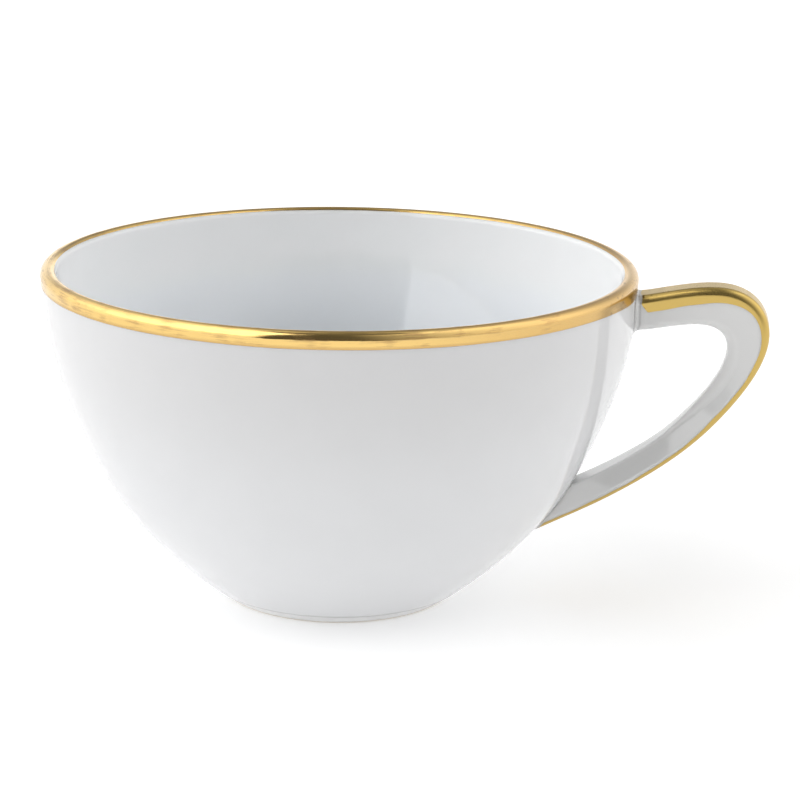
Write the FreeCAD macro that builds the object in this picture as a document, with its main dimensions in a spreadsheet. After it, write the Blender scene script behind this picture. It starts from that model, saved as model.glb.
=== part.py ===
import FreeCAD, Part
import os

import Sketcher

# Porcelain teacup with an ear-shaped handle, gilded on the lip and along the handle's spine.
# Millimetres. The origin is the centre of the foot's resting plane, +Z is up along the bowl's
# axis, and the handle stands out along +X. Every profile is drawn in the XZ plane.

# The driving dimensions. A radius or reach is measured from the bowl's axis, a height from the
# resting plane.
SIZES = {
    # foot ring
    "foot_height": 2.0,
    "foot_top_radius": 23.2,
    "foot_side_radius": 20.7,
    "foot_side_height": 0.3,
    "foot_contact_radius": 20.3,
    "foot_groove_radius": 17.8,
    "foot_recess_radius": 17.2,
    "foot_edge_rounding": 0.2,
    # bowl's outer wall, from the foot ring to the collar where the gold band starts
    "low_wall_radius": 37.0,
    "low_wall_height": 12.9,
    "belly_radius": 44.0,
    "belly_height": 26.8,
    "shoulder_radius": 50.6,
    "shoulder_height": 42.0,
    "collar_radius": 51.9,
    "collar_height": 56.4,
    # bowl's lip, rounded over, and its hollow
    "rim_radius": 52.0,
    "rim_height": 59.4,
    "lip_rounding": 1.4,
    "hollow_shoulder_radius": 48.2,
    "hollow_shoulder_height": 46.0,
    "hollow_belly_radius": 43.9,
    "hollow_belly_height": 32.2,
    "hollow_low_radius": 33.9,
    "hollow_low_height": 13.6,
    "hollow_floor_radius": 22.3,
    "hollow_floor_height": 5.0,
    # handle
    "handle_width": 6.4,
    "spine_rounding": 1.1,
    "grip_rounding": 1.4,
    # clay slip between the handle's ends and the wall
    "slip_thickness": 0.9,
    "slip_width": 8.0,
    "slip_corner_rounding": 2.4,
    "upper_slip_bottom": 49.0,
    "upper_slip_top": 56.3,
    "lower_slip_bottom": 9.4,
    "lower_slip_top": 23.0,
    # fired gold
    "gilding_thickness": 0.12,
    "gilding_gap": 1.6,
}

# Side view of the handle: its outer edge (the spine), its inner edge (the grip) and the lower
# edge of the gold on its sides. Each is a smooth curve from the upper end to the lower end, given
# by its control points as (reach, height), between two straight ends that run on into the wall.
HANDLE_CURVES = {
    "spine": [
        (52.7, 56.1),
        (55.5, 56.2),
        (70.0, 60.6),
        (77.7, 49.5),
        (67.7, 34.6),
        (58.8, 26.2),
        (45.9, 17.9),
        (38.0, 14.3),
        (34.0, 11.3),
    ],
    "grip": [
        (52.0, 49.9),
        (53.7, 49.8),
        (66.3, 53.9),
        (69.3, 45.1),
        (59.7, 33.4),
        (54.5, 28.8),
        (46.3, 23.8),
        (41.5, 21.5),
    ],
    "gold": [
        (53.8, 53.3),
        (56.0, 53.2),
        (69.9, 58.7),
        (76.7, 50.6),
        (66.5, 34.8),
        (60.2, 28.5),
        (47.2, 19.7),
        (41.1, 16.6),
        (37.0, 14.0),
    ],
}
STRAIGHT_ENDS = {
    "spine_upper_reach": 49.5,
    "spine_upper_height": 55.9,
    "spine_lower_reach": 31.0,
    "spine_lower_height": 9.3,
    "grip_upper_reach": 49.5,
    "grip_upper_height": 49.9,
    "grip_lower_reach": 38.8,
    "grip_lower_height": 20.0,
    "gold_upper_reach": 49.5,
    "gold_upper_height": 53.4,
    "gold_lower_reach": 31.0,
    "gold_lower_height": 10.0,
}
# Box, wider than the handle on every side, that the gold is cut out of.
GOLD_ZONE = {
    "zone_reach": 82.0,
    "zone_top": 64.0,
    "zone_bottom": 4.0,
    "zone_width": 12.0,
}

SHEET_NAME = "dims"
FULL_TURN = 360
CURVE_DEGREE = 3
# The gold on the lip ends 45 degrees inwards of the crest: both sine and cosine of that angle.
GOLD_LIP_SLOPE = 0.5**0.5
SOLVER_SLACK = 1e-6

# Sketcher's numbers for a sketch's origin and axes and for the places on a curve
ORIGIN = (-1, 1)
HORIZONTAL_AXIS = -1
VERTICAL_AXIS = -2
START, END, CENTRE = 1, 2, 3


class Size:
    """A length as a number, to draw with, and as a formula, to bind a constraint to."""

    def __init__(self, number, formula):
        self.number = number
        self.formula = formula

    def __add__(self, other):
        return Size(self.number + other.number, f"({self.formula} + {other.formula})")

    def __sub__(self, other):
        return Size(self.number - other.number, f"({self.formula} - {other.formula})")

    def __mul__(self, factor):
        return Size(self.number * factor, f"({self.formula} * {factor})")


def size(alias):
    return Size(SIZES[alias], f"{SHEET_NAME}.{alias}")


def list_handle_sizes():
    """Put the handle's curves among the driving dimensions, two for each control point."""
    for name, points in HANDLE_CURVES.items():
        for order, (reach, height) in enumerate(points, start=1):
            SIZES[f"{name}_{order}_reach"] = reach
            SIZES[f"{name}_{order}_height"] = height
    SIZES.update(STRAIGHT_ENDS)
    SIZES.update(GOLD_ZONE)


def make_sheet(document):
    sheet = document.addObject("Spreadsheet::Sheet", SHEET_NAME)
    for row, (alias, value) in enumerate(SIZES.items(), start=1):
        sheet.set(f"A{row}", alias.replace("_", " "))
        sheet.set(f"B{row}", str(value))
        sheet.setAlias(f"B{row}", alias)
    document.recompute()


# ------------------------------------------------------------------ drawing


def new_sketch(body, name, plane_role):
    sketch = body.newObject("Sketcher::SketchObject", name)
    plane = next(item for item in body.Origin.OriginFeatures if item.Role == plane_role)
    sketch.AttachmentSupport = [(plane, "")]
    sketch.MapMode = "FlatFace"
    return sketch


def vector(point):
    across, along = point
    return FreeCAD.Vector(across.number if across else 0, along.number if along else 0, 0)


class Outline:
    """A closed outline in a sketch, drawn edge by edge. A point is a pair of sizes, and None
    stands for a point on the axis."""

    def __init__(self, sketch, start):
        self.sketch = sketch
        self.first_point = start
        self.point = start
        self.first = None
        self.last = None

    def constrain(self, *terms):
        return self.sketch.addConstraint(Sketcher.Constraint(*terms))

    def bind(self, kind, curve, place, length):
        index = self.constrain(kind, *ORIGIN, curve, place, length.number)
        self.sketch.setExpression(f"Constraints[{index}]", length.formula)

    def bind_point(self, curve, place, point):
        across, along = point
        if across is None:
            self.constrain("PointOnObject", curve, place, VERTICAL_AXIS)
        else:
            self.bind("DistanceX", curve, place, across)
        if along is None:
            self.constrain("PointOnObject", curve, place, HORIZONTAL_AXIS)
        else:
            self.bind("DistanceY", curve, place, along)

    def join(self, curve, start_place, end_place, end):
        """Tie a new edge's start to the outline so far."""
        if self.last is None:
            self.first = (curve, start_place)
            self.bind_point(curve, start_place, self.point)
        else:
            self.constrain("Coincident", *self.last, curve, start_place)
        self.last = (curve, end_place)
        self.point = end

    def line_to(self, end):
        segment = Part.LineSegment(vector(self.point), vector(end))
        line = self.sketch.addGeometry(segment)
        self.join(line, START, END, end)
        self.bind_point(line, END, end)

    def arc_to(self, centre, end, turns_left):
        """Arc about a bound centre. Its radius is the start's distance from the centre."""
        middle = vector(centre)
        start_ray = vector(self.point) - middle
        end_ray = vector(end) - middle
        circle = Part.Circle(middle, FreeCAD.Vector(0, 0, 1), start_ray.Length)
        rays = [start_ray, end_ray] if turns_left else [end_ray, start_ray]
        angles = [circle.parameter(middle + ray) for ray in rays]
        arc = self.sketch.addGeometry(Part.ArcOfCircle(circle, *angles))
        places = (START, END) if turns_left else (END, START)
        self.join(arc, *places, end)
        self.bind_point(arc, CENTRE, centre)
        if abs(end_ray.y) > SOLVER_SLACK:
            self.bind("DistanceX", arc, places[1], end[0])
        else:
            self.bind("DistanceY", arc, places[1], end[1])

    def curve_to(self, poles):
        """Clamped cubic curve from the last point, with every further control point bound."""
        points = [self.point] + poles
        circles = []
        for point in points:
            circle = Part.Circle(vector(point), FreeCAD.Vector(0, 0, 1), 1)
            circles.append(self.sketch.addGeometry(circle, True))
        self.constrain("Weight", circles[0], 1)
        for circle in circles[1:]:
            self.constrain("Equal", circles[0], circle)
        curve = Part.BSplineCurve()
        spans = len(points) - CURVE_DEGREE
        counts = [CURVE_DEGREE + 1] + [1] * (spans - 1) + [CURVE_DEGREE + 1]
        places = [vector(point) for point in points]
        curve.buildFromPolesMultsKnots(places, counts, list(range(spans + 1)), False, CURVE_DEGREE)
        spline = self.sketch.addGeometry(curve)
        for order, circle in enumerate(circles):
            self.constrain("InternalAlignment:Sketcher::BSplineControlPoint", circle, CENTRE, spline, order)
        self.join(spline, START, END, poles[-1])
        for circle, point in zip(circles[1:], poles):
            self.bind_point(circle, CENTRE, point)

    def close(self):
        segment = Part.LineSegment(vector(self.point), vector(self.first_point))
        line = self.sketch.addGeometry(segment)
        self.constrain("Coincident", *self.last, line, START)
        self.constrain("Coincident", line, END, *self.first)


def wall_poles(shift=None):
    """Control points of the bowl's outer wall above the foot, moved outwards by a shift."""
    names = ["low_wall", "belly", "shoulder", "collar"]
    poles = [(size(f"{name}_radius"), size(f"{name}_height")) for name in names]
    if shift is None:
        return poles
    return [(radius + shift, height) for radius, height in poles]


def handle_poles(name):
    orders = range(1, len(HANDLE_CURVES[name]) + 1)
    return [(size(f"{name}_{order}_reach"), size(f"{name}_{order}_height")) for order in orders]


def straight_end(name, end):
    return size(f"{name}_{end}_reach"), size(f"{name}_{end}_height")


def lip_centre():
    return size("rim_radius") - size("lip_rounding"), size("rim_height") - size("lip_rounding")


def lip_point(radius):
    """Where the gold ends, inside the crest, on a circle about the lip's centre."""
    across, along = lip_centre()
    return across - radius * GOLD_LIP_SLOPE, along + radius * GOLD_LIP_SLOPE


# ----------------------------------------------------------------- features


def new_body(document, label):
    body = document.addObject("PartDesign::Body", label)
    body.Label = label
    body.Placement = FreeCAD.Placement()
    return body


def add_turning(body, kind, name, sketch):
    """Turn a profile a full circle about the bowl's axis, to add to the body or to cut it."""
    turning = body.newObject(f"PartDesign::{kind}", name)
    turning.Profile = sketch
    turning.ReferenceAxis = (sketch, ["V_Axis"])
    turning.Angle = FULL_TURN
    return turning


def add_symmetric_pad(body, name, sketch, width):
    pad = body.newObject("PartDesign::Pad", name)
    pad.Profile = sketch
    pad.SideType = "Symmetric"
    pad.setExpression("Length", width.formula)
    return pad


def add_fillet(body, name, base, edge_names, radius):
    fillet = body.newObject("PartDesign::Fillet", name)
    fillet.Base = (base, edge_names)
    fillet.setExpression("Radius", radius.formula)
    return fillet


def name_edges(shape, wanted):
    return [f"Edge{order}" for order, edge in enumerate(shape.Edges, start=1) if wanted(edge)]


def cut_wall_away(body, name, shift):
    """Cut off everything nearer to the axis than the bowl's outer wall moved out by a shift."""
    sketch = new_sketch(body, f"{name}_profile", "XZ_Plane")
    outline = Outline(sketch, (None, size("foot_height")))
    edge_radius = size("foot_top_radius")
    top_radius = size("rim_radius")
    if shift is not None:
        edge_radius = edge_radius + shift
        top_radius = top_radius + shift
    outline.line_to((edge_radius, size("foot_height")))
    outline.curve_to(wall_poles(shift))
    outline.line_to((top_radius, size("rim_height")))
    outline.line_to((None, size("rim_height")))
    outline.close()
    add_turning(body, "Groove", name, sketch)


# --------------------------------------------------------------- sub-parts


def build_bowl(document):
    """Thin-walled bowl, with a shallow rebate over its lip that the gold fills."""
    body = new_body(document, "bowl")
    sketch = new_sketch(body, "bowl_profile", "XZ_Plane")
    gold = size("gilding_thickness")
    rounding = size("lip_rounding")
    centre = lip_centre()
    outline = Outline(sketch, (None, size("foot_height")))
    outline.line_to((size("foot_top_radius"), size("foot_height")))
    outline.curve_to(wall_poles())
    outline.line_to((size("collar_radius") - gold, size("collar_height")))
    outline.line_to((size("rim_radius") - gold, centre[1]))
    outline.arc_to(centre, lip_point(rounding - gold), turns_left=True)
    outline.line_to(lip_point(rounding))
    outline.arc_to(centre, (centre[0] - rounding, centre[1]), turns_left=True)
    hollow = ["hollow_shoulder", "hollow_belly", "hollow_low", "hollow_floor"]
    poles = [(size(f"{name}_radius"), size(f"{name}_height")) for name in hollow]
    outline.curve_to(poles + [(None, size("hollow_floor_height"))])
    outline.close()
    add_turning(body, "Revolution", "bowl_turning", sketch)
    return body


def build_foot_ring(document):
    """Tapered ring under the floor, with its two resting edges rounded."""
    body = new_body(document, "foot_ring")
    sketch = new_sketch(body, "foot_profile", "XZ_Plane")
    outline = Outline(sketch, (size("foot_recess_radius"), size("foot_height")))
    outline.line_to((size("foot_groove_radius"), None))
    outline.line_to((size("foot_contact_radius"), None))
    outline.line_to((size("foot_side_radius"), size("foot_side_height")))
    outline.line_to((size("foot_top_radius"), size("foot_height")))
    outline.close()
    ring = add_turning(body, "Revolution", "foot_turning", sketch)
    document.recompute()
    edges = name_edges(ring.Shape, lambda edge: edge.BoundBox.ZMax < SIZES["foot_side_height"] / 2)
    circles = [name for name in edges if ring.Shape.getElement(name).Curve.TypeId == "Part::GeomCircle"]
    add_fillet(body, "foot_edges", ring, circles, size("foot_edge_rounding"))
    return body


def build_rim_gilding(document):
    """Thin gold band from the collar, over the lip and just past its crest."""
    body = new_body(document, "rim_gilding")
    sketch = new_sketch(body, "rim_gilding_profile", "XZ_Plane")
    gold = size("gilding_thickness")
    rounding = size("lip_rounding")
    centre = lip_centre()
    outline = Outline(sketch, (size("collar_radius"), size("collar_height")))
    outline.line_to((size("collar_radius") - gold, size("collar_height")))
    outline.line_to((size("rim_radius") - gold, centre[1]))
    outline.arc_to(centre, lip_point(rounding - gold), turns_left=True)
    outline.line_to(lip_point(rounding))
    outline.arc_to(centre, (size("rim_radius"), centre[1]), turns_left=False)
    outline.close()
    add_turning(body, "Revolution", "rim_gilding_turning", sketch)
    return body


def inward_shifts(points):
    """How far each control point of the spine moves, for every millimetre that the curve moves
    into the handle: along the bisector at each corner, so that every leg moves by one."""
    normals = []
    for start, end in zip(points, points[1:]):
        leg = FreeCAD.Vector(end[0] - start[0], end[1] - start[1], 0).normalize()
        normals.append(FreeCAD.Vector(leg.y, -leg.x, 0))
    shifts = [normals[0]]
    for before, after in zip(normals, normals[1:]):
        shifts.append((before + after) / (1 + before.dot(after)))
    return shifts + [normals[-1]]


def spine_poles(inset):
    """The spine's straight upper end, its curve's control points and its straight lower end."""
    points = [straight_end("spine", "upper"), *handle_poles("spine"), straight_end("spine", "lower")]
    if inset is None:
        return points
    shifts = inward_shifts([(reach.number, height.number) for reach, height in points])
    return [
        (reach + inset * shift.x, height + inset * shift.y)
        for (reach, height), shift in zip(points, shifts)
    ]


def build_handle_bar(document, label, inset=None):
    """Bar of the handle's side view with its spine's two edges rounded, or the same bar with its
    spine and its sides moved in by an inset."""
    body = new_body(document, label)
    sketch = new_sketch(body, f"{label}_side_view", "XZ_Plane")
    upper, *spine, lower = spine_poles(inset)
    grip = handle_poles("grip")
    grip.reverse()
    outline = Outline(sketch, upper)
    outline.line_to(spine[0])
    outline.curve_to(spine[1:])
    outline.line_to(lower)
    outline.line_to(straight_end("grip", "lower"))
    outline.line_to(grip[0])
    outline.curve_to(grip[1:])
    outline.line_to(straight_end("grip", "upper"))
    outline.close()
    width = size("handle_width")
    rounding = size("spine_rounding")
    if inset is not None:
        width = width - inset * 2
        rounding = rounding - inset
    pad = add_symmetric_pad(body, f"{label}_pad", sketch, width)
    document.recompute()
    spine_names = [name for name in curved_side_edges(pad) if reaches_spine(pad, name)]
    return body, add_fillet(body, f"{label}_spine_edges", pad, spine_names, rounding)


def curved_side_edges(feature):
    """Names of the curved edges that lie flat on the handle's two sides."""

    def wanted(edge):
        curved = edge.Curve.TypeId == "Part::GeomBSplineCurve"
        return curved and edge.BoundBox.YLength < SOLVER_SLACK

    return name_edges(feature.Shape, wanted)


def reaches_spine(feature, name):
    grip_reach = max(reach for reach, height in HANDLE_CURVES["grip"])
    return feature.Shape.getElement(name).BoundBox.XMax > grip_reach


def build_handle_blank(document):
    """The whole handle with its gold, up to the slip at the wall."""
    body, spine_edges = build_handle_bar(document, "handle_blank")
    document.recompute()
    names = curved_side_edges(spine_edges)
    grip_names = [name for name in names if not reaches_spine(spine_edges, name)]
    add_fillet(body, "grip_edges", spine_edges, grip_names, size("grip_rounding"))
    cut_wall_away(body, "handle_end_cut", size("slip_thickness"))
    return body


def build_gold_zone(document):
    """Block that holds the part of the handle's surface that is gilded."""
    body = new_body(document, "gold_zone")
    sketch = new_sketch(body, "gold_zone_side_view", "XZ_Plane")
    start = straight_end("gold", "upper")
    end = straight_end("gold", "lower")
    gold_edge = handle_poles("gold")
    outline = Outline(sketch, start)
    outline.line_to(gold_edge[0])
    outline.curve_to(gold_edge[1:])
    outline.line_to(end)
    outline.line_to((end[0], size("zone_bottom")))
    outline.line_to((size("zone_reach"), size("zone_bottom")))
    outline.line_to((size("zone_reach"), size("zone_top")))
    outline.line_to((start[0], size("zone_top")))
    outline.close()
    add_symmetric_pad(body, "gold_zone_pad", sketch, size("zone_width"))
    cut_wall_away(body, "gold_zone_end_cut", size("gilding_gap"))
    return body


def add_boolean(document, kind, label, base, tool):
    result = document.addObject(f"Part::{kind}", label)
    result.Label = label
    result.Base = base
    result.Tool = tool
    return result


def build_handle(document):
    """Split the handle into its porcelain and the thin gold skin sunk into its spine."""
    blank = build_handle_blank(document)
    core = build_handle_bar(document, "handle_core", size("gilding_thickness"))[0]
    skin = add_boolean(document, "Cut", "handle_skin", blank, core)
    zone = build_gold_zone(document)
    gilding = add_boolean(document, "Common", "handle_gilding", skin, zone)
    handle = add_boolean(document, "Cut", "handle", blank, gilding)
    return handle, gilding


def build_slip_joint(document, end):
    """Thin collar of clay slip that follows the wall, a little wider than the handle's end."""
    body = new_body(document, f"{end}_slip_joint")
    slip = size("slip_thickness")
    bottom = size(f"{end}_slip_bottom")
    top = size(f"{end}_slip_top")
    inside = size("foot_recess_radius")
    outside = size("rim_radius") + slip * 2
    block = Outline(new_sketch(body, f"{end}_slip_side_view", "XZ_Plane"), (inside, bottom))
    block.line_to((outside, bottom))
    block.line_to((outside, top))
    block.line_to((inside, top))
    block.close()
    pad = add_symmetric_pad(body, f"{end}_slip_pad", block.sketch, size("slip_width"))
    document.recompute()
    block_length = outside.number - inside.number
    long_edges = name_edges(pad.Shape, lambda edge: edge.Length > block_length - SOLVER_SLACK)
    add_fillet(body, f"{end}_slip_corners", pad, long_edges, size("slip_corner_rounding"))
    cut_wall_away(body, f"{end}_slip_wall_cut", None)

    sketch = new_sketch(body, f"{end}_slip_outer_profile", "XZ_Plane")
    outline = Outline(sketch, (size("foot_top_radius") + slip, size("foot_height")))
    outline.curve_to(wall_poles(slip))
    outline.line_to((size("rim_radius") + slip, size("rim_height")))
    outline.line_to((size("zone_reach"), size("rim_height")))
    outline.line_to((size("zone_reach"), size("foot_height")))
    outline.close()
    add_turning(body, "Groove", f"{end}_slip_outer_cut", sketch)
    return body


# ---------------------------------------------------------------- checking


def check_document(document):
    for item in document.Objects:
        if "Invalid" in item.State or "Error" in item.State:
            raise RuntimeError(f"{item.Name} did not compute: {item.State}")


def check_sub_part(item):
    shape = item.Shape
    if shape.isNull() or not shape.isValid() or shape.Volume <= 0:
        raise RuntimeError(f"{item.Label} has no sound shape")
    if len(shape.Solids) != 1:
        raise RuntimeError(f"{item.Label} is not one solid")


def main():
    list_handle_sizes()
    document = FreeCAD.newDocument("teacup")
    make_sheet(document)
    sub_parts = [
        build_bowl(document),
        build_foot_ring(document),
        build_rim_gilding(document),
        *build_handle(document),
        build_slip_joint(document, "upper"),
        build_slip_joint(document, "lower"),
    ]
    document.recompute()
    check_document(document)
    for item in sub_parts:
        check_sub_part(item)
    os.makedirs("parts", exist_ok=True)
    for item in sub_parts:
        item.Shape.exportStep(f"parts/{item.Label}.step")
        print(f"{item.Label}: {item.Shape.Volume:.2f} cubic mm")


main()
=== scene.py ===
import math

import bpy
import numpy as np
from mathutils import Matrix, Vector


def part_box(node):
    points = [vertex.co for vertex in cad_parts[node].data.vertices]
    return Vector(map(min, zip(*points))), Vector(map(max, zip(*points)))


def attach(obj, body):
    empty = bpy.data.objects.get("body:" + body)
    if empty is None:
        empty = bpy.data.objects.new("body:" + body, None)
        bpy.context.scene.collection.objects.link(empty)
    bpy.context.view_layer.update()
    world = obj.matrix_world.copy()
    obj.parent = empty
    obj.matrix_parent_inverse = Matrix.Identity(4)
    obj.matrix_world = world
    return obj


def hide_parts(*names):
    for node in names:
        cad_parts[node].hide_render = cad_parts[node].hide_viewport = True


# A gilded porcelain teacup. Lengths are in millimetres until a mesh is made, and then in metres.
# +Z is up along the bowl's axis and the handle stands out along +X.
MM = 0.001

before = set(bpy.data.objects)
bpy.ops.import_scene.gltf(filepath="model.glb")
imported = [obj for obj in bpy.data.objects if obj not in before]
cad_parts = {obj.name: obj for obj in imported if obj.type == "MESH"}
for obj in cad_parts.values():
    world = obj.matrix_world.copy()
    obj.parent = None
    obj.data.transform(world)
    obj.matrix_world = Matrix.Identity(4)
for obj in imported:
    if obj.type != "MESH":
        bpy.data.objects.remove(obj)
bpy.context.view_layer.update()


def top_of(node):
    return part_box(node)[1] / MM


RIM_RADIUS = top_of("rim_gilding").x
RIM_HEIGHT = top_of("rim_gilding").z
FOOT_HEIGHT = top_of("foot_ring").z

# Control points (radius, height) of the bowl's outer wall, from the foot ring to the collar.
WALL = [(23.2, FOOT_HEIGHT), (37.0, 12.9), (44.0, 26.8), (50.6, 42.0), (51.9, 56.4)]
COLLAR_HEIGHT = WALL[-1][1]
LIP_ROUNDING = 1.4
LIP_RADIUS = RIM_RADIUS - LIP_ROUNDING
LIP_HEIGHT = RIM_HEIGHT - LIP_ROUNDING
# Control points of the hollow, from the lip to the middle of the floor.
HOLLOW = [
    (RIM_RADIUS - 2 * LIP_ROUNDING, LIP_HEIGHT),
    (48.2, 46.0),
    (43.9, 32.2),
    (33.9, 13.6),
    (22.3, 5.0),
    (0.0, 5.0),
]
# Points of the bowl's underside and of the foot ring, each part listed in order round its profile.
UNDERSIDE = [(6.0, FOOT_HEIGHT), (12.0, FOOT_HEIGHT), (17.2, FOOT_HEIGHT)]
FOOT_INSIDE = [(17.2, FOOT_HEIGHT), (17.72, 0.3), (17.86, 0.08), (18.0, 0.0)]
FOOT_REST = [(18.6, 0.0), (19.6, 0.0)]
FOOT_OUTSIDE = [(20.3, 0.0), (20.5, 0.08), (20.7, 0.3)]
FOOT_TOP = [(20.0, FOOT_HEIGHT)]
TURNED_SEGMENTS = 288
WALL_ROWS = 90
COLLAR_ROWS = 4
LIP_ROWS = 25
HOLLOW_ROWS = 100
FOOT_SIDE_ROWS = 5

# Control points (reach, height) of the handle's outer edge and inner edge in its side view.
SPINE = [
    (52.7, 56.1),
    (55.5, 56.4),
    (70.0, 60.8),
    (77.7, 49.5),
    (67.7, 34.6),
    (58.8, 26.2),
    (45.9, 17.9),
    (38.0, 14.3),
    (34.0, 12.0),
]
GRIP = [
    (52.0, 49.9),
    (53.7, 49.6),
    (66.3, 53.6),
    (69.3, 45.1),
    (59.7, 33.4),
    (54.5, 28.8),
    (46.3, 23.8),
    (41.5, 21.5),
]
# The handle's section along its length: share of the length, width, flat on the grip, the grip's
# corner rounding in depth and in width, and how far the gold comes down the sides.
SECTIONS = [
    (0.00, 6.6, 3.0, 1.3, 1.2, 2.9),
    (0.14, 6.4, 3.0, 1.3, 1.2, 2.8),
    (0.24, 6.4, 2.2, 1.8, 1.6, 2.2),
    (0.32, 6.4, 1.2, 2.4, 2.2, 1.3),
    (0.40, 6.3, 0.8, 2.6, 2.2, 1.0),
    (0.50, 6.2, 0.9, 2.0, 1.6, 1.1),
    (0.60, 6.2, 2.6, 0.9, 0.7, 0.9),
    (0.70, 6.3, 3.9, 0.45, 0.35, 0.8),
    (0.85, 6.3, 4.7, 0.35, 0.3, 0.7),
    (1.00, 6.6, 5.2, 0.35, 0.3, 0.7),
]
SPINE_ROUNDING = 1.3
# How much the lower edge of the handle's gold wanders: amount, waves along the handle, and phase.
GOLD_EDGE_WAVES = [(0.05, 37, 0), (0.03, 83, 1)]
# How far the spine and the grip run on into the wall, at the upper and at the lower end.
SPINE_RUN = (8, 18)
GRIP_RUN = (8, 26)
# Points inside the wall where the handle's middle line starts and ends.
MIDDLE_START = (47.0, 53.0)
MIDDLE_END = (28.0, 12.6)
# The gold is a thin shell: it stands this far off the porcelain and goes this far into it.
GOLD_LIFT = 0.03
GOLD_DEPTH = 0.06
# How far from the wall the handle's gold starts, on the spine and at its edge, and ends.
GOLD_START = (0.7, 3.0)
GOLD_END = 2.2
GOLD_ROWS = 220


# ------------------------------------------------------------------ curves

# Points that a curve is drawn with before it is evened out.
TURNED_SAMPLES = 400
HANDLE_SAMPLES = 600


def spline(poles, places):
    """Points, at places from 0 to 1, of the clamped cubic curve with these control points."""
    poles = np.asarray(poles, float)
    spans = len(poles) - 3
    knots = np.concatenate([np.zeros(3), np.linspace(0, 1, spans + 1), np.ones(3)])
    places = np.clip(places, 0, 1 - 1e-9)[:, None]
    basis = ((knots[:-1] <= places) & (places < knots[1:])).astype(float)
    for degree in (1, 2, 3):
        lead = knots[degree:-1] - knots[: -degree - 1]
        trail = knots[degree + 1 :] - knots[1:-degree]
        rise = (places - knots[: -degree - 1]) / np.where(lead > 0, lead, 1)
        fall = (knots[degree + 1 :] - places) / np.where(trail > 0, trail, 1)
        basis = rise * basis[:, :-1] + fall * basis[:, 1:]
    return basis @ poles


def curve_of(poles, samples):
    return spline(poles, np.linspace(0, 1, samples))


def lengths_along(points):
    steps = np.linalg.norm(np.diff(points, axis=0), axis=1)
    return np.concatenate([[0], np.cumsum(steps)])


def points_at(points, lengths, wanted):
    """Points of a polyline at the wanted distances along it."""
    return np.stack([np.interp(wanted, lengths, axis) for axis in points.T], axis=1)


def even(points, count):
    lengths = lengths_along(points)
    return points_at(points, lengths, np.linspace(0, lengths[-1], count))


def unit(vectors):
    return vectors / np.linalg.norm(vectors, axis=-1, keepdims=True)


def smoothed(values, width):
    """Running mean down the rows of values that are already padded by half its width."""
    kernel = np.ones(width) / width
    return np.stack([np.convolve(column, kernel, "valid") for column in values.T], axis=1)


# The wall as a curve, carried straight up past the lip so that any height can be looked up in it.
ABOVE_LIP = 70
WALL_CURVE = np.vstack(
    [curve_of(WALL, TURNED_SAMPLES), [(RIM_RADIUS, LIP_HEIGHT), (RIM_RADIUS, ABOVE_LIP)]]
)
# The wall swells a little where the handle was stuck on: by how much, between which heights, and
# how far round to each side.
SWELL = 0.55
SWELL_HEIGHTS = [(8.0, 0.0), (16.0, 0.35), (26.0, 0.85), (34.0, 1.0), (49.0, 1.0), (56.0, 0.0)]
SWELL_ANGLE = math.radians(16)


def swelling(height, turn):
    heights, shares = np.array(SWELL_HEIGHTS).T
    share = np.interp(height, heights, shares)
    share = share * share * (3 - 2 * share)
    return SWELL * share * np.exp(-((turn / SWELL_ANGLE) ** 2))


def wall_radius(height, turn=math.pi):
    return np.interp(height, WALL_CURVE[:, 1], WALL_CURVE[:, 0]) + swelling(height, turn)


def off_wall(points):
    """How far each point is outside the wall, measured level."""
    turn = np.arctan2(points[:, 1], points[:, 0])
    return np.hypot(points[:, 0], points[:, 1]) - wall_radius(points[:, 2], turn)


# ------------------------------------------------------------------ meshes


def make_object(name, verts, faces, replaced, sharp_angle=math.radians(40)):
    mesh = bpy.data.meshes.new(name)
    mesh.from_pydata([tuple(v) for v in np.asarray(verts) * MM], [], faces)
    mesh.validate()
    mesh.shade_smooth()
    mesh.set_sharp_from_angle(angle=sharp_angle)
    piece = bpy.data.objects.new(name, mesh)
    bpy.context.scene.collection.objects.link(piece)
    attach(piece, "root")
    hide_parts(*replaced)
    return piece


def grid_faces(rows, columns, wrap_rows=False):
    """Quads of a grid whose columns close on themselves."""
    faces = []
    for row in range(rows if wrap_rows else rows - 1):
        above = (row + 1) % rows
        for column in range(columns):
            beside = (column + 1) % columns
            faces.append(
                (
                    row * columns + column,
                    row * columns + beside,
                    above * columns + beside,
                    above * columns + column,
                )
            )
    return faces


def lathe(profile, segments):
    """Rings of points, one for each point of a profile, about the bowl's axis."""
    profile = np.asarray(profile, float)
    turns = np.linspace(0, 2 * math.pi, segments, endpoint=False)
    rings = np.zeros((len(profile), segments, 3))
    rings[:, :, 0] = profile[:, :1] * np.cos(turns)
    rings[:, :, 1] = profile[:, :1] * np.sin(turns)
    rings[:, :, 2] = profile[:, 1:]
    return rings


def closed_rings(rings, low_hub, high_hub):
    """Vertices and faces of a turned solid whose rings are closed by a point at each end."""
    count, segments = rings.shape[:2]
    verts = np.vstack([rings.reshape(-1, 3), [low_hub, high_hub]])
    faces = grid_faces(count, segments)
    first = count * segments
    last_ring = (count - 1) * segments
    for column in range(segments):
        beside = (column + 1) % segments
        faces.append((first, beside, column))
        faces.append((first + 1, last_ring + column, last_ring + beside))
    return verts, faces


def lip_arc(radius, start, end, count):
    angles = np.radians(np.linspace(start, end, count))
    return np.stack([LIP_RADIUS + radius * np.cos(angles), LIP_HEIGHT + radius * np.sin(angles)], axis=1)


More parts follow.
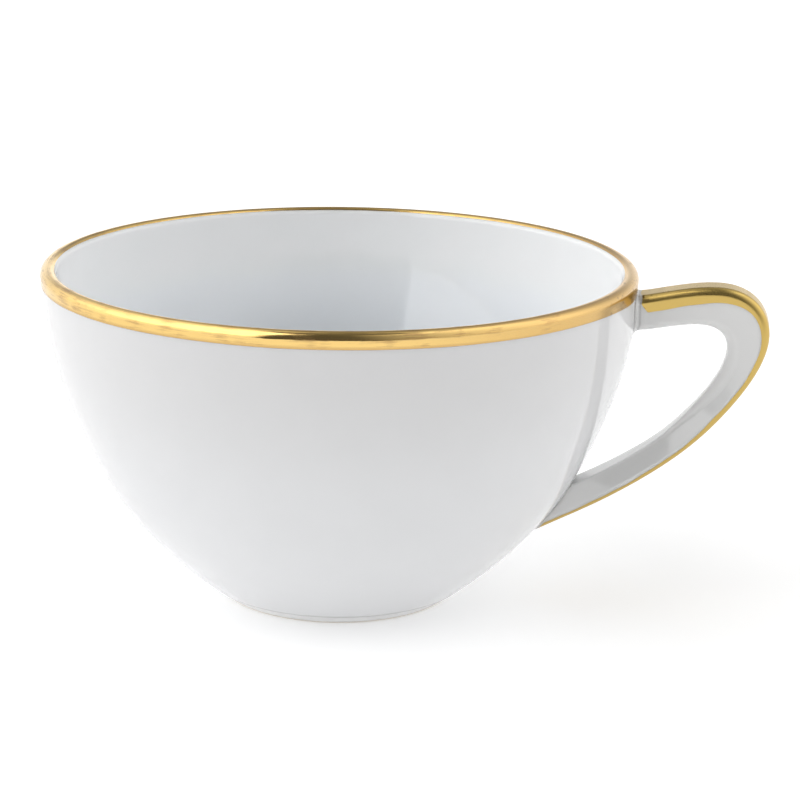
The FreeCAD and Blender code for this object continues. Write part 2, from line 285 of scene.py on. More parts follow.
def make_bowl():
    wall = even(curve_of(WALL, TURNED_SAMPLES), WALL_ROWS)
    collar = even(np.array([WALL[-1], (RIM_RADIUS, LIP_HEIGHT)]), COLLAR_ROWS)
    lip = lip_arc(LIP_ROUNDING, 0, 180, LIP_ROWS)
    hollow = even(curve_of(HOLLOW, TURNED_SAMPLES), HOLLOW_ROWS)
    profile = np.vstack([UNDERSIDE, wall, collar[1:], lip[1:], hollow[1:-1]])
    rings = lathe(profile, TURNED_SEGMENTS)
    outside = slice(len(UNDERSIDE), len(UNDERSIDE) + len(wall))
    turns = np.arctan2(rings[outside, :, 1], rings[outside, :, 0])
    growth = swelling(rings[outside, :, 2], turns) / profile[outside, :1]
    rings[outside, :, :2] *= 1 + growth[:, :, None]
    verts, faces = closed_rings(rings, (0, 0, FOOT_HEIGHT), (0, 0, hollow[-1][1]))
    return make_object("porcelain_bowl", verts, faces, ["bowl"])


def inside_bowl(face):
    """Whether a face of the bowl is on the hollow's side of the lip's crest."""
    from_axis = math.hypot(face.center.x, face.center.y) / MM
    above_floor = face.center.z / MM > HOLLOW[-1][1] - 0.1
    facing_in = face.normal.x * face.center.x + face.normal.y * face.center.y < 0
    facing_up = face.normal.z > -0.5
    return above_floor and (facing_in or from_axis < 1) and facing_up


def make_foot_ring():
    side = even(np.array([FOOT_OUTSIDE[-1], WALL[0]]), FOOT_SIDE_ROWS)
    profile = np.vstack([FOOT_INSIDE, FOOT_REST, FOOT_OUTSIDE, side[1:], FOOT_TOP])
    rings = lathe(profile, TURNED_SEGMENTS)
    faces = grid_faces(len(profile), TURNED_SEGMENTS, wrap_rows=True)
    return make_object("foot_ring_turned", rings.reshape(-1, 3), faces, ["foot_ring"])


# -------------------------------------------------------------- rim gilding

RIM_SEGMENTS = 384
# Rows of the band from its lower edge to its inner edge, and how many of them are below the lip.
RIM_ROWS = 44
RIM_WALL_ROWS = 12
# The band's lower edge above the collar, how far it wanders, and how it dips beside the handle.
RIM_EDGE = 0.3
RIM_EDGE_WANDER = 0.07
RIM_DIP = 0.85
RIM_DIP_ANGLE = math.radians(19)
# Where the band ends over the lip, in degrees from level outwards, and how far that wanders.
RIM_INNER = 135
RIM_INNER_WANDER = 3.5
WANDER_WAVES = (3, 5, 8, 13, 21)


def wander(turns, seed):
    """Slow hand-painted unevenness, from -1 to 1, that closes on itself."""
    total = np.zeros_like(turns)
    for order, waves in enumerate(WANDER_WAVES):
        total += np.sin(waves * turns + seed * (order + 1) * 1.7) / (order + 1.5)
    return total / 2


def make_rim_gilding():
    turns = np.linspace(0, 2 * math.pi, RIM_SEGMENTS, endpoint=False)
    off_handle = (turns + math.pi) % (2 * math.pi) - math.pi
    dip = RIM_DIP * np.exp(-((off_handle / RIM_DIP_ANGLE) ** 2))
    lower = COLLAR_HEIGHT + RIM_EDGE + RIM_EDGE_WANDER * wander(turns, 1.0) - dip
    inner = RIM_INNER + RIM_INNER_WANDER * wander(turns, 2.3)
    columns = []
    for low, end, turn in zip(lower, inner, turns):
        heights = np.linspace(low, LIP_HEIGHT, RIM_WALL_ROWS, endpoint=False)
        side = np.stack([wall_radius(heights), heights], axis=1)
        over = lip_arc(LIP_ROUNDING, 0, end, RIM_ROWS - RIM_WALL_ROWS)
        path = np.vstack([side, over])
        tangent = unit(np.gradient(path, axis=0))
        normal = np.stack([tangent[:, 1], -tangent[:, 0]], axis=1)
        skin = np.vstack([path + GOLD_LIFT * normal, (path - GOLD_DEPTH * normal)[::-1]])
        reach, height = skin.T
        columns.append(np.stack([reach * math.cos(turn), reach * math.sin(turn), height], axis=1))
    verts = np.stack(columns, axis=1)
    faces = grid_faces(2 * RIM_ROWS, RIM_SEGMENTS, wrap_rows=True)
    return make_object("gold_rim_band", verts.reshape(-1, 3), faces, ["rim_gilding"])


# ------------------------------------------------------------------- handle

# Points of half a section that are under the gold, and the rest of them.
HALF_GOLD = 20
HALF_PLAIN = 44
CORNER_POINTS = 40
STATIONS = 300
RELAXING_PASSES = 6
MIDDLE_SMOOTHING = 9
SECTION_SMOOTHING = 15
FILLET_ROWS = 16
FILLET_SINK = 0.01
MAIN_ROWS = 150
# Row of a fillet, counted from the wall, where the slip ends and the handle and its gold start.
SEAM_ROW = 9


def extended(poles, run):
    """A side-view edge of the handle, run straight on into the wall at both ends."""
    upper, lower = run
    curve = curve_of(poles, HANDLE_SAMPLES)
    start = curve[0] + np.linspace(upper, 0, 40, endpoint=False)[:, None] * unit(curve[0] - curve[3])
    end = curve[-1] + np.linspace(0, lower, 61)[1:, None] * unit(curve[-1] - curve[-12])
    return np.vstack([start, curve, end])


def crossing(origin, direction, curve):
    """The point of a curve that a line through the origin, nearest to it, meets."""
    offset = curve - origin
    across = offset[:, 0] * direction[1] - offset[:, 1] * direction[0]
    flips = np.nonzero(across[:-1] * across[1:] <= 0)[0]
    share = across[flips] / (across[flips] - across[flips + 1] + 1e-12)
    points = curve[flips] + share[:, None] * (curve[flips + 1] - curve[flips])
    return points[np.argmin(np.linalg.norm(points - origin, axis=1))]


def handle_edges():
    """Matched points of the spine and the grip, on lines square to the handle's middle line."""
    spine = extended(SPINE, SPINE_RUN)
    grip = extended(GRIP, GRIP_RUN)
    pair = [even(curve_of(poles, HANDLE_SAMPLES), STATIONS) for poles in (SPINE, GRIP)]
    middle = (pair[0] + pair[1]) / 2
    middle = np.vstack([[MIDDLE_START], middle[6:-40], [MIDDLE_END]])
    pad = MIDDLE_SMOOTHING // 2
    for _ in range(RELAXING_PASSES):
        middle = even(middle, STATIONS)
        before = 2 * middle[0] - middle[pad:0:-1]
        after = 2 * middle[-1] - middle[-2 : -2 - pad : -1]
        middle = smoothed(np.vstack([before, middle, after]), MIDDLE_SMOOTHING)
        along = unit(np.gradient(middle, axis=0))
        square = np.stack([-along[:, 1], along[:, 0]], axis=1)
        outer = np.array([crossing(m, s, spine) for m, s in zip(middle, square)])
        inner = np.array([crossing(m, s, grip) for m, s in zip(middle, square)])
        middle = (outer + inner) / 2
    return outer, inner


def half_section(depth, width, flat, corner_depth, corner_width, gold):
    """Half of the handle's section as (depth from the grip, distance from the middle plane), from
    the middle of the spine to the middle of the grip, with a fixed share of points under gold."""
    turn = np.linspace(0, math.pi / 2, CORNER_POINTS)
    half = width / 2
    spine_flat = half - SPINE_ROUNDING
    spine_corner = np.stack(
        [depth - SPINE_ROUNDING * (1 - np.cos(turn)), spine_flat + SPINE_ROUNDING * np.sin(turn)], axis=1
    )
    grip_corner = np.stack(
        [corner_depth * (1 - np.sin(turn)), flat / 2 + corner_width * np.cos(turn)], axis=1
    )
    outline = np.vstack([[(depth, 0)], spine_corner, grip_corner, [(0, 0)]])
    lengths = lengths_along(outline)
    edge = np.interp(gold, depth - outline[:, 0], lengths)
    under_gold = np.linspace(0, edge, HALF_GOLD, endpoint=False)
    plain = np.linspace(edge, lengths[-1], HALF_PLAIN)
    return points_at(outline, lengths, np.concatenate([under_gold, plain]))


def handle_rails():
    """Points of the handle's whole surface, station by station, before it is cut at the wall."""
    outer, inner = handle_edges()
    middle = (outer + inner) / 2
    along = lengths_along(middle)
    free = np.nonzero(middle[:, 0] > wall_radius(middle[:, 1], 0))[0]
    start, end = along[free[0]], along[free[-1]]
    share = (along - start) / (end - start)
    table = np.array(SECTIONS)
    sizes = np.stack([np.interp(share, table[:, 0], table[:, column]) for column in range(1, 6)], axis=1)
    pad = SECTION_SMOOTHING // 2
    sizes = smoothed(np.pad(sizes, ((pad, pad), (0, 0)), mode="edge"), SECTION_SMOOTHING)
    for amount, waves, phase in GOLD_EDGE_WAVES:
        sizes[:, 4] += amount * np.sin(share * waves + phase)
    rails = []
    for place, (spine, grip) in enumerate(zip(outer, inner)):
        depth = np.linalg.norm(spine - grip)
        across = (spine - grip) / depth
        half = half_section(depth, *sizes[place])
        mirrored = half[-2:0:-1] * (1, -1)
        up, aside = np.vstack([half, mirrored]).T
        rails.append(np.stack([grip[0] + up * across[0], aside, grip[1] + up * across[1]], axis=1))
    return np.array(rails), unit(outer - inner)


def wall_normal(point):
    step = 0.05
    turn = math.atan2(point[1], point[0])
    slope = (wall_radius(point[2] + step, turn) - wall_radius(point[2] - step, turn)) / (2 * step)
    out = unit(np.array([point[0], point[1], 0.0]))
    return unit(np.array([out[0], out[1], -slope]))


def on_wall(point, lift):
    turn = math.atan2(point[1], point[0])
    radius = wall_radius(point[2], turn) + lift
    return np.array([radius * math.cos(turn), radius * math.sin(turn), point[2]])


def fillet(rail, outward, legs):
    """Where a rail leaves the wall: points of the curve that turns from the wall into the rail,
    and the length along the rail where the curve ends. Legs are (along the rail, along the wall)
    for the grip, the sides and the spine."""
    lengths = lengths_along(rail)
    gap = off_wall(rail)
    first = int(np.argmax(gap > 0))
    share = gap[first - 1] / (gap[first - 1] - gap[first])
    start = lengths[first - 1] + share * (lengths[first] - lengths[first - 1])
    root = points_at(rail, lengths, [start])[0]
    facing, direction = outward
    along_rail = np.interp(facing, (-1, 0, 1), [leg[0] for leg in legs])
    along_wall = np.interp(facing, (-1, 0, 1), [leg[1] for leg in legs])
    free = points_at(rail, lengths, [start + along_rail])[0]
    normal = wall_normal(root)
    spread = unit(direction - direction.dot(normal) * normal)
    foot = on_wall(root + along_wall * spread, -FILLET_SINK)
    share = np.linspace(0, 1, FILLET_ROWS, endpoint=False)[:, None]
    curve = (1 - share) ** 2 * foot + 2 * share * (1 - share) * root + share**2 * free
    return curve, start + along_rail


# How long each joint's fillet is, along the handle and along the wall: grip, sides and spine.
UPPER_LEGS = [(1.8, 1.1), (3.0, 1.5), (1.4, 0.3)]
LOWER_LEGS = [(0.9, 0.9), (1.8, 1.7), (0.8, 0.3)]


def handle_surface():
    """Grid of points over the handle and its fillets: rows from the upper wall to the lower."""
    rails, across = handle_rails()
    forward = np.gradient(rails, axis=0)
    around = np.roll(rails, -1, axis=1) - np.roll(rails, 1, axis=1)
    normals = unit(np.cross(forward, around))
    columns = []
    for column in range(rails.shape[1]):
        rail = rails[:, column]
        gap = off_wall(rail)
        first = int(np.argmax(gap > 0))
        last = len(rail) - 1 - int(np.argmax(gap[::-1] > 0))
        pair = []
        for place, path, legs in ((first, rail, UPPER_LEGS), (last, rail[::-1], LOWER_LEGS)):
            normal = normals[place, column]
            facing = normal[0] * across[place][0] + normal[2] * across[place][1]
            pair.append(fillet(path, (facing, normal), legs))
        lengths = lengths_along(rail)
        total = lengths[-1]
        main = points_at(rail, lengths, np.linspace(pair[0][1], total - pair[1][1], MAIN_ROWS))
        columns.append(np.vstack([pair[0][0], main, pair[1][0][::-1]]))
    return np.stack(columns, axis=1)


def closed_tube(rows):
    """Vertices and faces of a tube of rings, with a cap at each end."""
    count, around = rows.shape[:2]
    verts = np.vstack([rows.reshape(-1, 3), rows[0].mean(0), rows[-1].mean(0)])
    faces = grid_faces(count, around)
    first_hub = count * around
    last_ring = (count - 1) * around
    for column in range(around):
        beside = (column + 1) % around
        faces.append((first_hub, beside, column))
        faces.append((first_hub + 1, last_ring + column, last_ring + beside))
    return verts, [face[::-1] for face in faces]


def make_handle():
    surface = handle_surface()
    last = len(surface) - 1
    parts = (
        ("handle_upper_slip", 0, SEAM_ROW, "upper_slip_joint"),
        ("porcelain_handle", SEAM_ROW, last - SEAM_ROW, "handle"),
        ("handle_lower_slip", last - SEAM_ROW, last, "lower_slip_joint"),
    )
    pieces = []
    for name, start, end, node in parts:
        verts, faces = closed_tube(surface[start : end + 1])
        pieces.append(make_object(name, verts, faces, [node]))
    return surface, pieces


def make_handle_gilding(surface):
    forward = np.gradient(surface, axis=0)
    around = np.roll(surface, -1, axis=1) - np.roll(surface, 1, axis=1)
    normals = unit(np.cross(forward, around))
    skin = []
    lift = []
    for place in range(-HALF_GOLD, HALF_GOLD + 1):
        column = place % surface.shape[1]
        rail = surface[:, column]
        lengths = lengths_along(rail)
        aside = (abs(place) / HALF_GOLD) ** 2
        start = GOLD_START[0] + (GOLD_START[1] - GOLD_START[0]) * aside
        wanted = np.linspace(start, lengths[-1] - GOLD_END, GOLD_ROWS)
        skin.append(points_at(rail, lengths, wanted))
        lift.append(unit(points_at(normals[:, column], lengths, wanted)))
    skin = np.stack(skin, axis=1)
    lift = np.stack(lift, axis=1)
    outside = skin + GOLD_LIFT * lift
    inside = (skin - GOLD_DEPTH * lift)[:, ::-1]
    verts, faces = closed_tube(np.concatenate([outside, inside], axis=1))
    return make_object("gold_handle_spine", verts, faces, ["handle_gilding"])


# ---------------------------------------------------------------- materials

# How far light travels in the glazed body, the glaze's shine and its refractive index.
GLAZE_DEPTH = 1.2
GLAZE_ROUGHNESS = (0.02, 0.05)
GLAZE_INDEX = 1.62
# Sizes of the glaze's cloudy tint and of its waves, and how high the waves are.
GLAZE_CLOUD = 9
GLAZE_WAVE = 5
GLAZE_WAVE_HEIGHT = 0.008
# Share of its brightness that the glaze keeps in its darker clouds.
GLAZE_DIMMING = 0.97
# Heights between which the glaze changes from its low colour to its high colour. This change with height
# is painted light and shade: outside, the glaze is lighter towards the foot; in the hollow, it is
# lighter towards the lip and darker towards the floor.
PAINTED_LIGHT_HEIGHTS = (26, 52)
# Outside, the low colour is lighter than the high one: painted light towards the foot.
OUTSIDE_LOW_PAINTED_LIGHT = (0.715, 0.72, 0.73, 1)
OUTSIDE_HIGH = (0.68, 0.68, 0.685, 1)
# The hollow's glaze is a far lighter copy of the same glaze, painted light, and it darkens towards the
# floor, painted shade.
HOLLOW_LOW_PAINTED_SHADE = (0.66, 0.685, 0.705, 1)
HOLLOW_HIGH_PAINTED_LIGHT = (0.93, 0.945, 0.965, 1)
HANDLE_WHITE = (0.70, 0.70, 0.695, 1)
FOOT_GLAZE = (0.79, 0.795, 0.80, 1)
# Dots: their spacing, their size and the share of them that is drawn. They are scattered through
# space, so only those that happen to lie on the surface show.
SPECKS = (17, 0.26, 0.3)
GOLD_PITS = (0.8, 0.30, 0.8)
GOLD_RARE_PITS = (3.2, 0.14, 0.35)
SPECK_COLOUR = (0.20, 0.17, 0.13, 1)
RIM_GOLD = (0.84, 0.58, 0.21, 1)
RIM_GOLD_WORN = (0.60, 0.385, 0.15, 1)
HANDLE_GOLD = (0.74, 0.53, 0.17, 1)
HANDLE_GOLD_WORN = (0.56, 0.395, 0.12, 1)
RIM_GOLD_ROUGHNESS = (0.10, 0.26)
HANDLE_GOLD_ROUGHNESS = (0.12, 0.30)
PIT_COLOUR = (0.10, 0.055, 0.02, 1)
PIT_ROUGHNESS = 0.6
# Sizes of the gold's brush streaks and worn patches, and the height of its relief.
GOLD_STREAK = 0.35
GOLD_PATCH = 4.5
GOLD_RELIEF = 0.02
# Heights between which the gold thins out towards the lower edge of the rim's band. All of the
# handle's gold below the rim is as thin as that edge.
THIN_GOLD = ((COLLAR_HEIGHT + 0.35) * MM, (COLLAR_HEIGHT + 1.0) * MM)
THIN_GOLD_WEAR = 0.9
# Reach along +X between which the gold is ever more worn by handling.
HANDLED_GOLD = (8 * MM, 48 * MM)
HANDLED_GOLD_WEAR = 0.75
# Reach along +X where pits start to crowd, and where they stop.
PITS_BEGIN = (44 * MM, 50 * MM)
PITS_END = (53 * MM, 58 * MM)
PITTED_PATCHES = (0.46, 0.60)
# How much slower the streaks change along the brush stroke than across it.
ROUND_STROKE = 4 * MM
ALONG_STROKE = 0.12
BARE_CLAY = (0.74, 0.70, 0.63, 1)
BARE_CLAY_DARK = (0.60, 0.55, 0.48, 1)
# Heights between which the foot ring changes from bare clay to glaze.
GLAZE_LINE = (0.12 * MM, 0.4 * MM)
CLAY_GRAIN = 0.6
CLAY_RELIEF = 0.08
FOOT_ROUGHNESS = (0.75, 0.05)


def new_material(name):
    material = bpy.data.materials.new(name)
    material.use_nodes = True
    nodes = material.node_tree.nodes
    return material, nodes, material.node_tree.links, nodes["Principled BSDF"]


def feed(links, socket, value):
    """Give a socket a fixed value, or another node's output."""
    if isinstance(value, (int, float, tuple)):
        socket.default_value = value
    else:
        links.new(value, socket)


def math_node(nodes, links, operation, *inputs):
    node = nodes.new("ShaderNodeMath")
    node.operation = operation
    for socket, value in zip(node.inputs, inputs):
        feed(links, socket, value)
    return node.outputs[0]


def smooth_step(nodes, links, value, limits, outputs=(0.0, 1.0)):
    node = nodes.new("ShaderNodeMapRange")
    node.interpolation_type = "SMOOTHSTEP"
    links.new(value, node.inputs["Value"])
    node.inputs["From Min"].default_value = limits[0]
    node.inputs["From Max"].default_value = limits[1]
    node.inputs["To Min"].default_value = outputs[0]
    node.inputs["To Max"].default_value = outputs[1]
    return node.outputs["Result"]


def mix_colours(nodes, links, share, first, second):
    node = nodes.new("ShaderNodeMix")
    node.data_type = "RGBA"
    feed(links, node.inputs[0], share)
    feed(links, node.inputs[6], first)
    feed(links, node.inputs[7], second)
    return node.outputs[2]


def object_place(nodes, links):
    """Position on the cup in metres, and its three parts."""
    place = nodes.new("ShaderNodeTexCoord").outputs["Object"]
    split = nodes.new("ShaderNodeSeparateXYZ")
    links.new(place, split.inputs[0])
    return place, split.outputs


def noise(nodes, links, place, size, detail=3.0):
    """Cloudy noise from 0 to 1 whose lumps are about this many millimetres across."""
    node = nodes.new("ShaderNodeTexNoise")
    links.new(place, node.inputs["Vector"])
    node.inputs["Scale"].default_value = 1 / (size * MM)
    node.inputs["Detail"].default_value = detail
    return node.outputs["Fac"]


def dots(nodes, links, place, spacing, size, kept):
    """Scattered dots: 1 inside a dot and 0 outside. A share of them, kept, is drawn."""
    node = nodes.new("ShaderNodeTexVoronoi")
    links.new(place, node.inputs["Vector"])
    node.inputs["Scale"].default_value = 1 / (spacing * MM)
    reach = size / spacing
    near = smooth_step(nodes, links, node.outputs["Distance"], (0.4 * reach, reach), (1, 0))
    parts = nodes.new("ShaderNodeSeparateColor")
    links.new(node.outputs["Color"], parts.inputs[0])
    drawn = math_node(nodes, links, "LESS_THAN", parts.outputs[0], kept)
    return math_node(nodes, links, "MULTIPLY", near, drawn)


def bump(nodes, links, height, depth, shader):
    """Relief on a surface, this many millimetres from its lowest to its highest."""
    node = nodes.new("ShaderNodeBump")
    node.inputs["Distance"].default_value = depth * MM
    links.new(height, node.inputs["Height"])
    links.new(node.outputs["Normal"], shader.inputs["Normal"])


def join_parts(nodes, links, parts):
    joined = nodes.new("ShaderNodeCombineXYZ")
    for socket, part in zip(joined.inputs, parts):
        links.new(part, socket)
    return joined.outputs[0]


def make_translucent(shader):
    """Let light pass a little way into the surface, as it does in glazed porcelain."""
    shader.inputs["Subsurface Weight"].default_value = 1.0
    shader.inputs["Subsurface Radius"].default_value = (1.0, 1.0, 1.0)
    shader.inputs["Subsurface Scale"].default_value = GLAZE_DEPTH * MM


def dimmed(colour):
    """The slightly darker shade that a colour of glaze wanders to."""
    return tuple(GLAZE_DIMMING * part for part in colour[:3]) + (1,)


def glaze_material(name, low_colour, high_colour):
    """White glaze over white clay: its colour changes slowly with height, as painted light and shade,
    and it has a faint waviness and, rarely, a speck."""
    material, nodes, links, shader = new_material(name)
    place, parts = object_place(nodes, links)
    # The share of the high colour, rising with height: this carries the painted light and shade.
    rising = smooth_step(nodes, links, parts[2], [height * MM for height in PAINTED_LIGHT_HEIGHTS])
    cloud = noise(nodes, links, place, GLAZE_CLOUD)
    colour = mix_colours(nodes, links, rising, low_colour, high_colour)
    dim = mix_colours(nodes, links, rising, dimmed(low_colour), dimmed(high_colour))
    faded = mix_colours(nodes, links, cloud, dim, colour)
    speck = dots(nodes, links, place, *SPECKS)
    links.new(mix_colours(nodes, links, speck, faded, SPECK_COLOUR), shader.inputs["Base Color"])
    rough = smooth_step(nodes, links, cloud, (0.3, 0.7), GLAZE_ROUGHNESS)
    links.new(rough, shader.inputs["Roughness"])
    bump(nodes, links, noise(nodes, links, place, GLAZE_WAVE, 2.0), GLAZE_WAVE_HEIGHT, shader)
    shader.inputs["IOR"].default_value = GLAZE_INDEX
    make_translucent(shader)
    return material


def foot_material():
    """The foot ring: glazed up its sides and bare, gritty clay on the face it rests on."""
    material, nodes, links, shader = new_material("foot")
    place, parts = object_place(nodes, links)
    glazed = smooth_step(nodes, links, parts[2], GLAZE_LINE)
    grain = noise(nodes, links, place, CLAY_GRAIN, 6.0)
    clay = mix_colours(nodes, links, grain, BARE_CLAY_DARK, BARE_CLAY)
    links.new(mix_colours(nodes, links, glazed, clay, FOOT_GLAZE), shader.inputs["Base Color"])
    rough = smooth_step(nodes, links, glazed, (0, 1), FOOT_ROUGHNESS)
    links.new(rough, shader.inputs["Roughness"])
    bare = math_node(nodes, links, "SUBTRACT", 1.0, glazed)
    bump(nodes, links, math_node(nodes, links, "MULTIPLY", grain, bare), CLAY_RELIEF, shader)
    make_translucent(shader)
    return material


def round_place(nodes, links, parts):
    """A position that changes slowly round the rim and quickly up and across it."""
    angle = math_node(nodes, links, "ARCTAN2", parts[1], parts[0])
    squares = [math_node(nodes, links, "MULTIPLY", part, part) for part in parts[:2]]
    from_axis = math_node(nodes, links, "SQRT", math_node(nodes, links, "ADD", *squares))
    slow = math_node(nodes, links, "MULTIPLY", angle, ROUND_STROKE)
    return join_parts(nodes, links, (slow, from_axis, parts[2]))


def along_place(nodes, links, parts):
    """A position that changes slowly along the handle and quickly across it."""
    slow = [math_node(nodes, links, "MULTIPLY", parts[axis], ALONG_STROKE) for axis in (0, 2)]
    return join_parts(nodes, links, (slow[0], parts[1], slow[1]))


def gold_material(name, colour, worn_colour, roughness, stretched):
    """Brushed-on fired gold: streaks along the stroke, worn patches, and small dark pits that
    crowd round the handle's root."""
    material, nodes, links, shader = new_material(name)
    place, parts = object_place(nodes, links)
    streak = noise(nodes, links, stretched(nodes, links, parts), GOLD_STREAK, 4.0)
    patch = noise(nodes, links, place, GOLD_PATCH, 4.0)
    scuffs = math_node(nodes, links, "MULTIPLY", streak, patch)
    scuffed = smooth_step(nodes, links, scuffs, (0.20, 0.42))
    handled = smooth_step(nodes, links, parts[0], HANDLED_GOLD, (0.0, HANDLED_GOLD_WEAR))
    thin = smooth_step(nodes, links, parts[2], THIN_GOLD, (THIN_GOLD_WEAR, 0.0))
    old = math_node(nodes, links, "MAXIMUM", handled, thin)
    wear = math_node(nodes, links, "MAXIMUM", scuffed, old)
    gilt = mix_colours(nodes, links, wear, colour, worn_colour)
    rough = math_node(nodes, links, "MULTIPLY_ADD", wear, roughness[1] - roughness[0], roughness[0])

    begun = smooth_step(nodes, links, parts[0], PITS_BEGIN)
    not_over = smooth_step(nodes, links, parts[0], PITS_END, (1, 0))
    near_root = math_node(nodes, links, "MULTIPLY", begun, not_over)
    pit = dots(nodes, links, place, *GOLD_PITS)
    patchy = smooth_step(nodes, links, patch, PITTED_PATCHES, (0.0, 0.9))
    grouped = math_node(nodes, links, "MULTIPLY", pit, patchy)
    crowded = math_node(nodes, links, "MULTIPLY", grouped, near_root)
    pitted = math_node(nodes, links, "MAXIMUM", crowded, dots(nodes, links, place, *GOLD_RARE_PITS))
    pit_rough = math_node(nodes, links, "MULTIPLY", pitted, PIT_ROUGHNESS)

    links.new(mix_colours(nodes, links, pitted, gilt, PIT_COLOUR), shader.inputs["Base Color"])
    links.new(math_node(nodes, links, "MAXIMUM", rough, pit_rough), shader.inputs["Roughness"])
    bump(nodes, links, math_node(nodes, links, "SUBTRACT", streak, pitted), GOLD_RELIEF, shader)
    shader.inputs["Metallic"].default_value = 1.0
    return material


# ------------------------------------------------------------------- studio

# The camera, in metres from the bowl's axis and above the floor. It stands round from -Y by its
# azimuth, and its pan, tilt and roll turn it from looking level at the axis.
CAMERA_RANGE = 0.43255
CAMERA_HEIGHT = 0.15310
CAMERA_AZIMUTH = math.radians(8)
CAMERA_PAN = math.radians(1.426)
CAMERA_TILT = math.radians(15.326)
CAMERA_ROLL = math.radians(0.818)
CAMERA_LENS = 113.75
SENSOR_WIDTH = 36


def make_camera():
    place = Vector(
        (
            CAMERA_RANGE * math.sin(CAMERA_AZIMUTH),
            -CAMERA_RANGE * math.cos(CAMERA_AZIMUTH),
            CAMERA_HEIGHT,
        )
    )
    heading = CAMERA_AZIMUTH - CAMERA_PAN
    forward = Vector(
        (
            -math.sin(heading) * math.cos(CAMERA_TILT),
            math.cos(heading) * math.cos(CAMERA_TILT),
            -math.sin(CAMERA_TILT),
        )
    )
    level = forward.cross(Vector((0, 0, 1))).normalized()
    upright = level.cross(forward)
    right = level * math.cos(CAMERA_ROLL) + upright * math.sin(CAMERA_ROLL)
    up = upright * math.cos(CAMERA_ROLL) - level * math.sin(CAMERA_ROLL)
    turn = Matrix((right, up, -forward)).transposed().to_4x4()
    data = bpy.data.cameras.new("camera")
    data.lens = CAMERA_LENS
    data.sensor_width = SENSOR_WIDTH
    data.clip_start = 0.01
    camera = bpy.data.objects.new("camera", data)
    camera.matrix_world = Matrix.Translation(place) @ turn
    bpy.context.scene.collection.objects.link(camera)
    bpy.context.scene.camera = camera


# The floor is pale paper that glows a little, so that shadows on it stay light.
FLOOR_HALF = 3.0
PAPER_GRAIN = 3
PAPER_ROUGHNESS = 0.9
PAPER_DARK = (0.83, 0.83, 0.83, 1)
PAPER_LIGHT = (0.87, 0.87, 0.87, 1)
PAPER_GLOW = 0.29


def make_floor():
    mesh = bpy.data.meshes.new("floor")
    corners = [(x * FLOOR_HALF, y * FLOOR_HALF, 0) for x, y in ((-1, -1), (1, -1), (1, 1), (-1, 1))]
    mesh.from_pydata(corners, [], [(0, 1, 2, 3)])
    floor = bpy.data.objects.new("floor", mesh)
    bpy.context.scene.collection.objects.link(floor)
    material, nodes, links, shader = new_material("floor_paper")
    place = object_place(nodes, links)[0]
    grain = noise(nodes, links, place, PAPER_GRAIN, 5.0)
    links.new(mix_colours(nodes, links, grain, PAPER_DARK, PAPER_LIGHT), shader.inputs["Base Color"])
    shader.inputs["Roughness"].default_value = PAPER_ROUGHNESS
    shader.inputs["Emission Color"].default_value = (1, 1, 1, 1)
    shader.inputs["Emission Strength"].default_value = PAPER_GLOW
    mesh.materials.append(material)


# The studio round the cup: pairs of a bearing from the camera's side, in degrees with the
# right-hand side positive, and a brightness. White panels stand on both sides, a white backdrop
# stands behind, and there is a dark gap on the camera's side. The low lights are near the horizon.
LOW_LIGHT = [
    (-180, 1.5),
    (-150, 1.2),
    (-100, 1.65),
    (-60, 1.55),
    (-32, 1.5),
    (-30, 0.10),
    (8, 0.12),
    (32, 0.7),
    (60, 1.15),
    (85, 1.5),
    (110, 1.5),
    (150, 1.2),
    (180, 1.5),
]
HIGH_LIGHT = [
    (-180, 0.3),
    (-140, 1.3),
    (-100, 2.3),
    (-60, 2.5),
    (-32, 2.5),
    (-30, 0.10),
    (8, 0.15),
    (32, 0.7),
    (60, 1.3),
    (85, 1.8),
    (105, 1.9),
    (140, 0.9),
    (180, 0.3),
]
# The brightness that a full ramp stands for, and the level that all the light is scaled by.
BRIGHTEST = 3.0
STUDIO_LEVEL = 0.86
# Elevations over which the low lights give way to the high ones, and those to the zenith.
LOW_TO_HIGH = (math.radians(8), math.radians(22))
PANEL_TOP = (math.radians(72), math.radians(78))
ZENITH_LIGHT = 0.2


def bearing_ramp(nodes, links, source, levels):
    """A ramp of brightness by bearing, as a share of the brightest light."""
    ramp = nodes.new("ShaderNodeValToRGB")
    ramp.color_ramp.interpolation = "LINEAR"
    stops = ramp.color_ramp.elements
    for place, (bearing, level) in enumerate(levels):
        position = (bearing + 180) / 360
        stop = stops[place] if place < 2 else stops.new(position)
        stop.position = position
        share = level / BRIGHTEST
        stop.color = (share, share, share, 1)
    links.new(source, ramp.inputs["Fac"])
    return ramp.outputs["Color"]


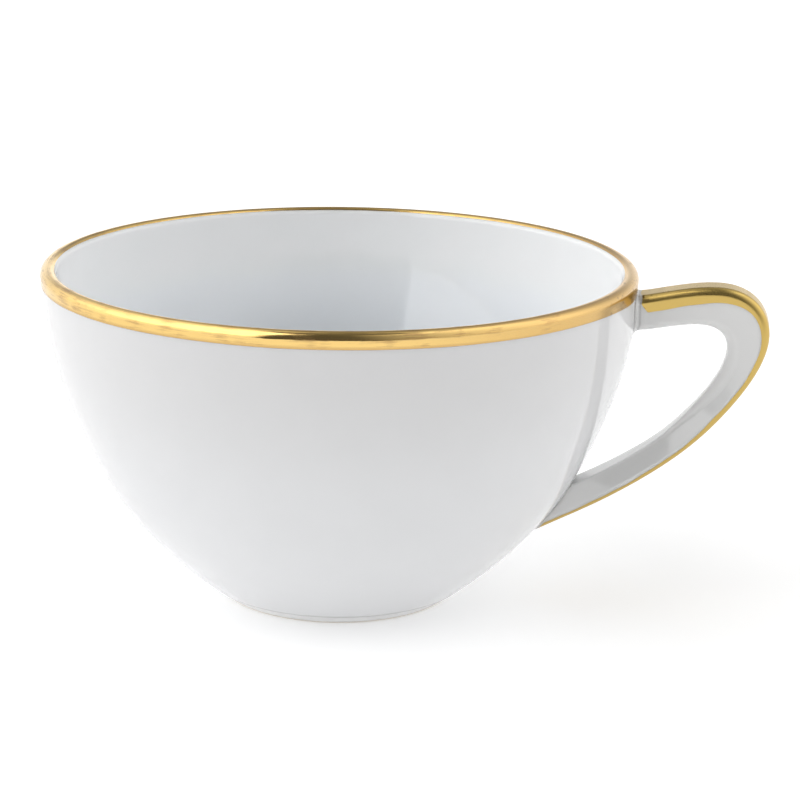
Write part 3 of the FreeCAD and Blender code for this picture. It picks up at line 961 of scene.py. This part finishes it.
def make_world():
    world = bpy.data.worlds.new("studio")
    bpy.context.scene.world = world
    world.use_nodes = True
    nodes = world.node_tree.nodes
    links = world.node_tree.links
    direction = nodes.new("ShaderNodeTexCoord").outputs["Generated"]
    split = nodes.new("ShaderNodeSeparateXYZ")
    links.new(direction, split.inputs[0])
    around = math_node(nodes, links, "ARCTAN2", split.outputs[1], split.outputs[0])
    turned = math_node(nodes, links, "ADD", around, math.pi / 2 - CAMERA_AZIMUTH)
    bearing = math_node(nodes, links, "WRAP", turned, math.pi, -math.pi)
    share = math_node(nodes, links, "MULTIPLY_ADD", bearing, 0.5 / math.pi, 0.5)
    height = math_node(nodes, links, "ARCSINE", split.outputs[2])
    low = bearing_ramp(nodes, links, share, LOW_LIGHT)
    high = bearing_ramp(nodes, links, share, HIGH_LIGHT)
    rising = smooth_step(nodes, links, height, LOW_TO_HIGH)
    panels = mix_colours(nodes, links, rising, low, high)
    top_share = smooth_step(nodes, links, height, PANEL_TOP)
    zenith = ZENITH_LIGHT / BRIGHTEST
    light = mix_colours(nodes, links, top_share, panels, (zenith, zenith, zenith, 1))
    background = nodes["Background"]
    links.new(light, background.inputs["Color"])
    background.inputs["Strength"].default_value = BRIGHTEST * STUDIO_LEVEL


make_camera()
make_floor()
make_world()
# The outside glaze, with painted light that makes it lighter towards the foot.
glaze = glaze_material("glaze", OUTSIDE_LOW_PAINTED_LIGHT, OUTSIDE_HIGH)
# The hollow's glaze: a lighter copy of the glaze with painted light near the lip and painted shade
# towards the floor.
hollow_glaze_painted_light_and_shade = glaze_material("hollow_glaze_painted_light_and_shade", HOLLOW_LOW_PAINTED_SHADE, HOLLOW_HIGH_PAINTED_LIGHT)
handle_glaze = glaze_material("handle_glaze", HANDLE_WHITE, HANDLE_WHITE)
rim_gold = gold_material("rim_gold", RIM_GOLD, RIM_GOLD_WORN, RIM_GOLD_ROUGHNESS, round_place)
handle_gold = gold_material(
    "handle_gold", HANDLE_GOLD, HANDLE_GOLD_WORN, HANDLE_GOLD_ROUGHNESS, along_place
)
bowl = make_bowl()
foot = make_foot_ring()
rim = make_rim_gilding()
surface, porcelain = make_handle()
spine_gold = make_handle_gilding(surface)
foot.data.materials.append(foot_material())
rim.data.materials.append(rim_gold)
spine_gold.data.materials.append(handle_gold)
for piece in porcelain:
    piece.data.materials.append(handle_glaze)
bowl.data.materials.append(glaze)
bowl.data.materials.append(hollow_glaze_painted_light_and_shade)
# Faces in the hollow take the lighter copy of the glaze, with its painted light and shade.
for face in bowl.data.polygons:
    if inside_bowl(face):
        face.material_index = 1
bpy.context.scene.view_settings.view_transform = "Standard"
